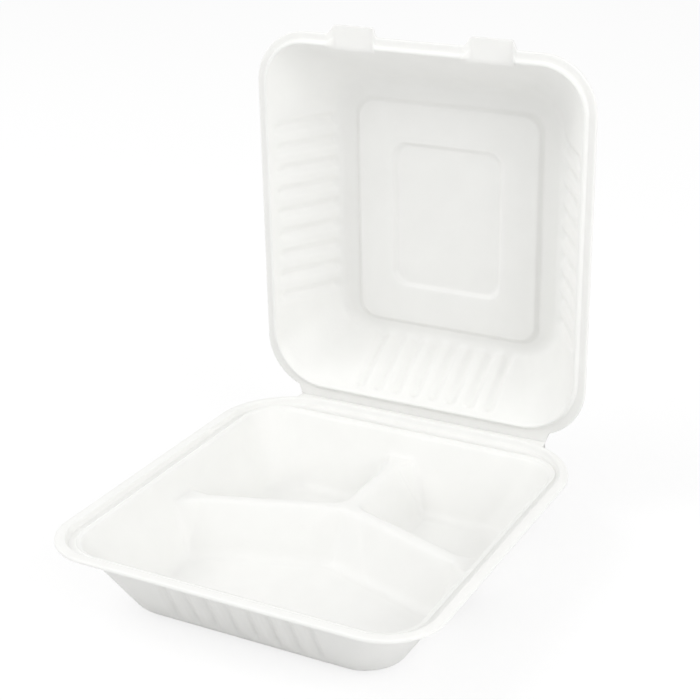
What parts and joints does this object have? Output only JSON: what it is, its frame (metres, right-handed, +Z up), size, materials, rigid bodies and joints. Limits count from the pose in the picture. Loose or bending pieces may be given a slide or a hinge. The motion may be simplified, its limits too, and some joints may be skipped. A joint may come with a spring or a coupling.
{
  "type": "hinged pulp food box",
  "caption": "Hinged takeaway food box of moulded plant-fibre pulp: a divided tray, and a lid with ribs, locking tabs and a stepped panel, shown open.",
  "frame": {"origin": "middle of the footprint with the lid open as in the picture, on the surface that the tray stands on", "axes": "+X along the crease, +Y from the tray's front toward the crease, +Z up"},
  "size_m": [0.205, 0.2566, 0.2582],
  "materials": {
    "moulded_pulp": "matt off-white pressed plant fibre with a fine screen texture"
  },
  "bodies": {
    "tray": {"tray": "moulded_pulp"},
    "lid": {"lid": "moulded_pulp"}
  },
  "joints": [
    {"name": "lid_hinge", "type": "hinge", "parent": "tray", "child": "lid", "pos_m": [0, 0.09073, 0.04215], "axis": [-1, 0, 0], "range_deg": [-88.55, 91.45]}
  ]
}
